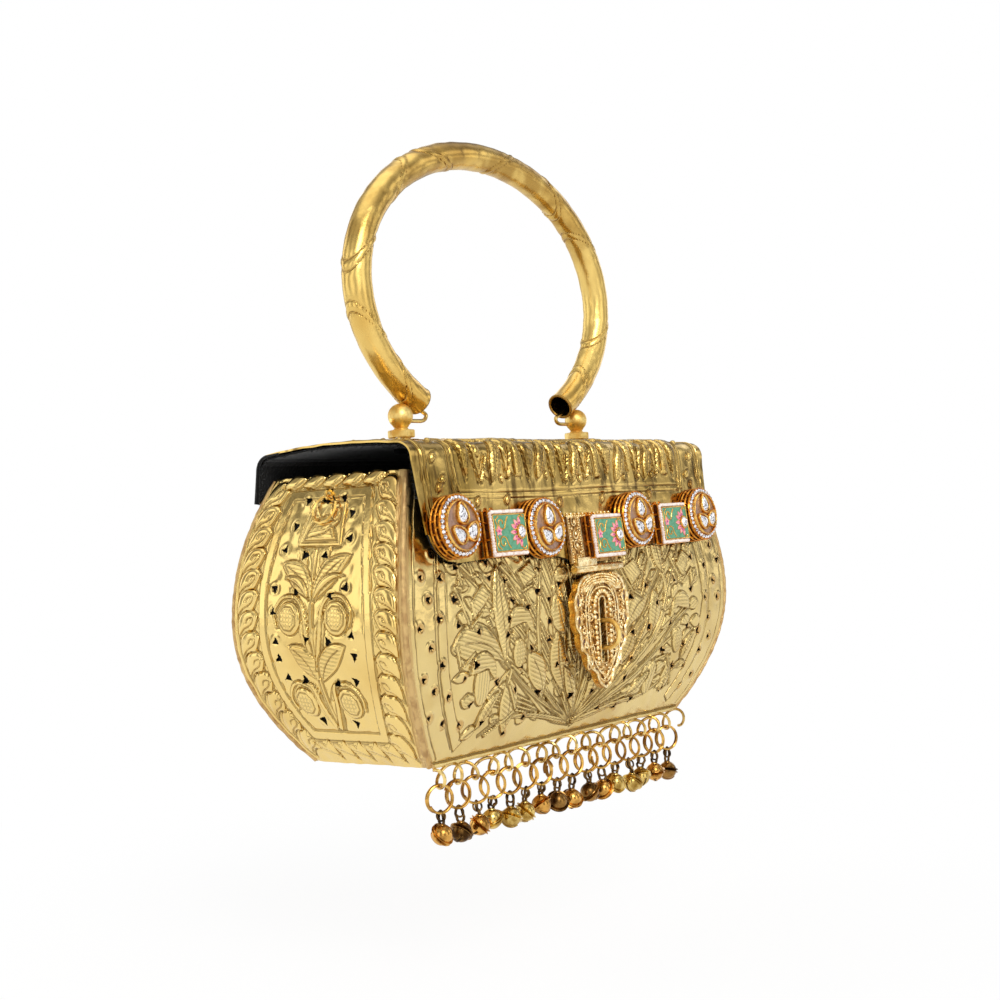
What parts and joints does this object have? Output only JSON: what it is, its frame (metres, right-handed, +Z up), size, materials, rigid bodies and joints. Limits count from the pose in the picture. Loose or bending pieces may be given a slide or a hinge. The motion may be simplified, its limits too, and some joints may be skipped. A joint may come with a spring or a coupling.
{
  "type": "clutch bag",
  "caption": "Box clutch bag of embossed and pierced brass sheet with a hinged lid, jewelled flap, slotted hasp, ring handle and a fringe of small bells.",
  "frame": {"origin": "inner top of the handle, where a hand or hook carries the bag", "axes": "+Z up, -Y towards the front with the hasp, +X to the right seen from the front"},
  "size_m": [0.2512, 0.113, 0.3078],
  "materials": {
    "pale_brass": "polished hand-worked sheet and wire, pale yellow",
    "olive_brass": "polished embossed sheet, darker olive gold",
    "filigree_brass": "twisted wire, beads and granulation on sheet",
    "amber_brass": "small bells and wire, uneven amber to dark tone",
    "black_velvet": "short-pile velvet",
    "crystal_setting": "white cut stones in gilt bezels over a mauve-brown ground",
    "green_enamel": "painted enamel with gilt scrolls and seed pearls"
  },
  "bodies": {
    "handle": {"handle_tube": "pale_brass", "handle_hook_left": "pale_brass", "handle_hook_right": "pale_brass"},
    "lid_assembly": {"lid": "olive_brass", "lid_lining": "black_velvet", "hinge_leaf_lid": "pale_brass", "hinge_pin": "pale_brass", "handle_post_left": "pale_brass", "handle_post_right": "pale_brass", "post_nut_left": "pale_brass", "post_nut_right": "pale_brass", "medallion_1": "crystal_setting", "medallion_2": "crystal_setting", "medallion_3": "crystal_setting", "medallion_4": "crystal_setting", "jewel_plate_1": "green_enamel", "jewel_plate_2": "green_enamel", "jewel_plate_3": "green_enamel", "hasp_leaf": "filigree_brass", "hasp_pin": "pale_brass"},
    "box_body": {"front_panel": "pale_brass", "back_panel": "pale_brass", "end_panel_left": "pale_brass", "end_panel_right": "pale_brass", "base_panel": "pale_brass", "body_lining": "black_velvet", "staple": "pale_brass", "hinge_leaf_body": "pale_brass", "eyelet_left": "pale_brass", "eyelet_right": "pale_brass", "fringe_coil": "amber_brass"},
    "hasp": {"hasp_shield": "filigree_brass"},
    "ring_left": {"side_ring_left": "pale_brass"},
    "ring_right": {"side_ring_right": "pale_brass"},
    "pendant_01": {"bell_01": "amber_brass"},
    "pendant_02": {"bell_02": "amber_brass"},
    "pendant_03": {"bell_03": "amber_brass"},
    "pendant_04": {"bell_04": "amber_brass"},
    "pendant_05": {"bell_05": "amber_brass"},
    "pendant_06": {"bell_06": "amber_brass"},
    "pendant_07": {"bell_07": "amber_brass"},
    "pendant_08": {"bell_08": "amber_brass"},
    "pendant_09": {"bell_09": "amber_brass"},
    "pendant_10": {"bell_10": "amber_brass"},
    "pendant_11": {"bell_11": "amber_brass"},
    "pendant_12": {"bell_12": "amber_brass"},
    "pendant_13": {"bell_13": "amber_brass"},
    "pendant_14": {"bell_14": "amber_brass"},
    "pendant_15": {"bell_15": "amber_brass"},
    "pendant_16": {"bell_16": "amber_brass"}
  },
  "joints": [
    {"name": "handle_swing", "type": "hinge", "parent": "handle", "child": "lid_assembly", "pos_m": [0, 0, -0.1176], "axis": [1, 0, 0], "range_deg": [-85, 85]},
    {"name": "lid_hinge", "type": "hinge", "parent": "lid_assembly", "child": "box_body", "pos_m": [0, 0.0478, -0.15364], "axis": [1, 0, 0], "range_deg": [0, 90]},
    {"name": "hasp_hinge", "type": "hinge", "parent": "lid_assembly", "child": "hasp", "pos_m": [0.0025, -0.05203, -0.18684], "axis": [-1, 0, 0], "range_deg": [0, 115]},
    {"name": "ring_left_swing", "type": "hinge", "parent": "box_body", "child": "ring_left", "pos_m": [-0.11306, 0.0015, -0.14901], "axis": [0, 1, 0], "range_deg": [0, 150]},
    {"name": "ring_right_swing", "type": "hinge", "parent": "box_body", "child": "ring_right", "pos_m": [0.11306, 0.0015, -0.14901], "axis": [0, -1, 0], "range_deg": [0, 150]},
    {"name": "pendant_01_swing", "type": "hinge", "parent": "box_body", "child": "pendant_01", "pos_m": [-0.0906, -0.0309, -0.27019], "axis": [1, 0, 0], "range_deg": [-45, 45]},
    {"name": "pendant_02_swing", "type": "hinge", "parent": "box_body", "child": "pendant_02", "pos_m": [-0.07884, -0.0309, -0.27019], "axis": [1, 0, 0], "range_deg": [-45, 45]},
    {"name": "pendant_03_swing", "type": "hinge", "parent": "box_body", "child": "pendant_03", "pos_m": [-0.06708, -0.0309, -0.27019], "axis": [1, 0, 0], "range_deg": [-45, 45]},
    {"name": "pendant_04_swing", "type": "hinge", "parent": "box_body", "child": "pendant_04", "pos_m": [-0.05532, -0.0309, -0.27019], "axis": [1, 0, 0], "range_deg": [-45, 45]},
    {"name": "pendant_05_swing", "type": "hinge", "parent": "box_body", "child": "pendant_05", "pos_m": [-0.04356, -0.0309, -0.27019], "axis": [1, 0, 0], "range_deg": [-45, 45]},
    {"name": "pendant_06_swing", "type": "hinge", "parent": "box_body", "child": "pendant_06", "pos_m": [-0.0318, -0.0309, -0.27019], "axis": [1, 0, 0], "range_deg": [-45, 45]},
    {"name": "pendant_07_swing", "type": "hinge", "parent": "box_body", "child": "pendant_07", "pos_m": [-0.02004, -0.0309, -0.27019], "axis": [1, 0, 0], "range_deg": [-45, 45]},
    {"name": "pendant_08_swing", "type": "hinge", "parent": "box_body", "child": "pendant_08", "pos_m": [-0.00828, -0.0309, -0.27019], "axis": [1, 0, 0], "range_deg": [-45, 45]},
    {"name": "pendant_09_swing", "type": "hinge", "parent": "box_body", "child": "pendant_09", "pos_m": [0.00348, -0.0309, -0.27019], "axis": [1, 0, 0], "range_deg": [-45, 45]},
    {"name": "pendant_10_swing", "type": "hinge", "parent": "box_body", "child": "pendant_10", "pos_m": [0.01524, -0.0309, -0.27019], "axis": [1, 0, 0], "range_deg": [-45, 45]},
    {"name": "pendant_11_swing", "type": "hinge", "parent": "box_body", "child": "pendant_11", "pos_m": [0.027, -0.0309, -0.27019], "axis": [1, 0, 0], "range_deg": [-45, 45]},
    {"name": "pendant_12_swing", "type": "hinge", "parent": "box_body", "child": "pendant_12", "pos_m": [0.03876, -0.0309, -0.27019], "axis": [1, 0, 0], "range_deg": [-45, 45]},
    {"name": "pendant_13_swing", "type": "hinge", "parent": "box_body", "child": "pendant_13", "pos_m": [0.05052, -0.0309, -0.27019], "axis": [1, 0, 0], "range_deg": [-45, 45]},
    {"name": "pendant_14_swing", "type": "hinge", "parent": "box_body", "child": "pendant_14", "pos_m": [0.06228, -0.0309, -0.27019], "axis": [1, 0, 0], "range_deg": [-45, 45]},
    {"name": "pendant_15_swing", "type": "hinge", "parent": "box_body", "child": "pendant_15", "pos_m": [0.07404, -0.0309, -0.27019], "axis": [1, 0, 0], "range_deg": [-45, 45]},
    {"name": "pendant_16_swing", "type": "hinge", "parent": "box_body", "child": "pendant_16", "pos_m": [0.0858, -0.0309, -0.27019], "axis": [1, 0, 0], "range_deg": [-45, 45]}
  ],
  "couplings": [
    {"joint": "hasp_hinge", "follows": "lid_hinge", "ratio": 1.2778}
  ]
}
